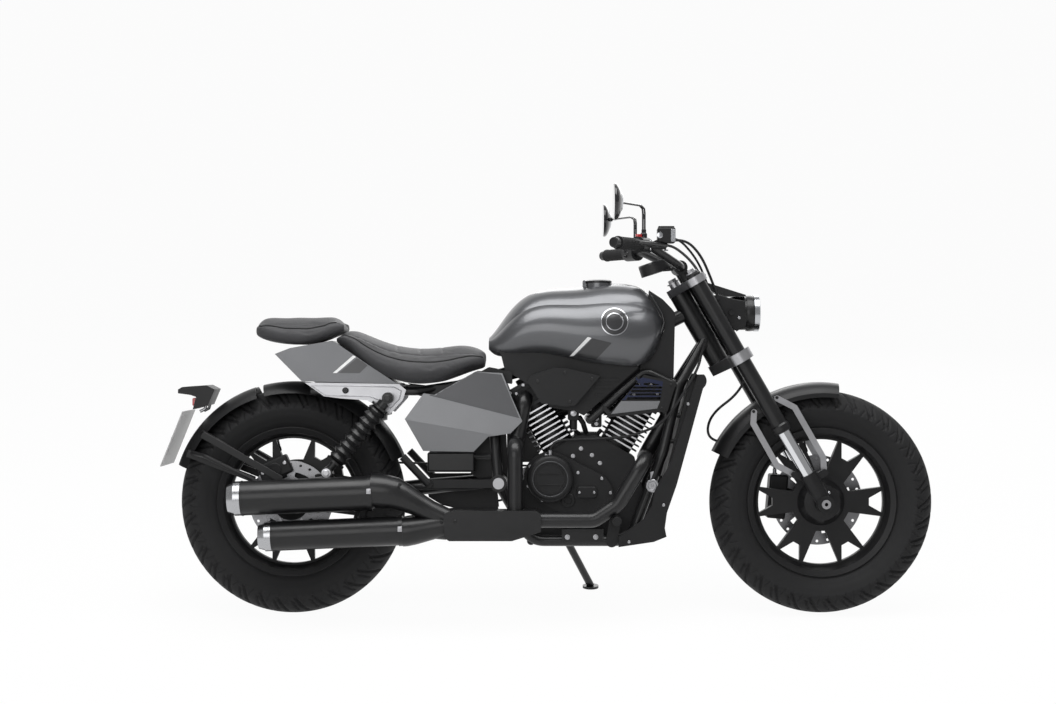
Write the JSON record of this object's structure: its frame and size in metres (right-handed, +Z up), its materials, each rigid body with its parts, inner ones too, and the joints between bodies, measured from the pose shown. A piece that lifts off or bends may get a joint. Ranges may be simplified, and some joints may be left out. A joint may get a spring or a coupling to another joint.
{
  "type": "cruiser motorcycle",
  "caption": "Mid-size cruiser motorcycle with a finned V-twin engine, cast branched-spoke wheels and stacked silencers, leaning on its side stand.",
  "frame": {"origin": "on the floor, under the middle of the parked machine's bounding box", "axes": "+X forward, +Y to the rider's left, the side it leans to, +Z up from the floor"},
  "size_m": [2.2077, 0.9216, 1.2646],
  "materials": {
    "black_casting": "matte",
    "black_frame": "satin",
    "black_plastic": "matte",
    "black_rubber": "matte",
    "brushed_cap": "brushed",
    "cushion_cover": "grained",
    "disc_steel": "brushed",
    "fin_edges": "satin",
    "fork_chrome": "polished",
    "gloss_plastic": "gloss",
    "gunmetal_paint": "satin metallic",
    "lamp_glass": "clear",
    "plate_metal": "satin",
    "satin_aluminium": "satin",
    "silver_paint": "satin",
    "tyre_rubber": "matte"
  },
  "bodies": {
    "chassis": {"airbox": "black_plastic", "clutch_cover": "black_casting", "collector": "black_frame", "crankcase": "black_casting", "drive_belt": "black_rubber", "exhaust_headers": "black_frame", "foot_pegs": "black_casting", "front_cylinder": "fin_edges", "front_pulley": "satin_aluminium", "fuel_tank": "gunmetal_paint", "head_panels": "black_plastic", "hugger": "black_plastic", "left_engine_cover": "black_casting", "main_frame": "black_frame", "number_plate": "plate_metal", "pillion_cushion": "cushion_cover", "radiator": "black_casting", "radiator_shrouds": "black_plastic", "rear_axle": "satin_aluminium", "rear_caliper": "black_casting", "rear_cylinder": "fin_edges", "rear_fender": "black_plastic", "rider_cushion": "cushion_cover", "shock_absorbers": "black_frame", "side_covers": "silver_paint", "side_grilles": "black_plastic", "silencer_caps": "brushed_cap", "silencers": "black_frame", "swingarm": "black_frame", "swingarm_pivot": "satin_aluminium", "tail_brackets": "satin_aluminium", "tail_cowl": "gunmetal_paint", "tail_lamp": "black_plastic"},
    "fork": {"lower_clamp": "satin_aluminium", "top_clamp": "satin_aluminium", "fork_outer_tubes": "black_frame", "fork_inner_tubes": "fork_chrome", "axle_carriers": "black_casting", "front_axle": "satin_aluminium", "front_fender": "black_plastic", "fender_stays": "satin_aluminium", "headlamp": "black_frame", "headlamp_lens": "lamp_glass", "headlamp_bracket": "black_frame", "handlebar": "black_frame", "bar_riser": "black_casting", "grips": "black_rubber", "bar_controls": "black_plastic", "mirrors": "gloss_plastic", "front_caliper": "black_casting", "instrument": "black_plastic"},
    "front_wheel": {"front_tyre": "tyre_rubber", "front_wheel": "black_casting", "front_disc": "disc_steel"},
    "rear_wheel": {"rear_tyre": "tyre_rubber", "rear_wheel": "black_casting", "rear_disc": "disc_steel", "rear_pulley": "satin_aluminium"},
    "side_stand": {"side_stand": "black_frame"},
    "fuel_cap": {"fuel_cap": "black_frame"}
  },
  "joints": [
    {"name": "steering", "type": "hinge", "parent": "chassis", "child": "fork", "pos_m": [0.42064, -0.05239, 0.81298], "axis": [-0.5, 0.1355, 0.8554], "range_deg": [-35, 35]},
    {"name": "front_wheel_spin", "type": "hinge", "parent": "fork", "child": "front_wheel", "pos_m": [0.77067, -0.13096, 0.31689], "axis": [0, 0.9877, -0.1564], "continuous": true},
    {"name": "rear_wheel_spin", "type": "hinge", "parent": "chassis", "child": "rear_wheel", "pos_m": [-0.74933, -0.13047, 0.32], "axis": [0, 0.9877, -0.1564], "continuous": true},
    {"name": "side_stand_fold", "type": "hinge", "parent": "chassis", "child": "side_stand", "pos_m": [0.03067, -0.00908, 0.19142], "axis": [-0.2691, 0.9623, -0.0399], "range_deg": [0, 107.5]},
    {"name": "fuel_cap_hinge", "type": "hinge", "parent": "chassis", "child": "fuel_cap", "pos_m": [0.08867, -0.03176, 0.94323], "axis": [0, -0.9877, 0.1564], "range_deg": [0, 95]}
  ]
}
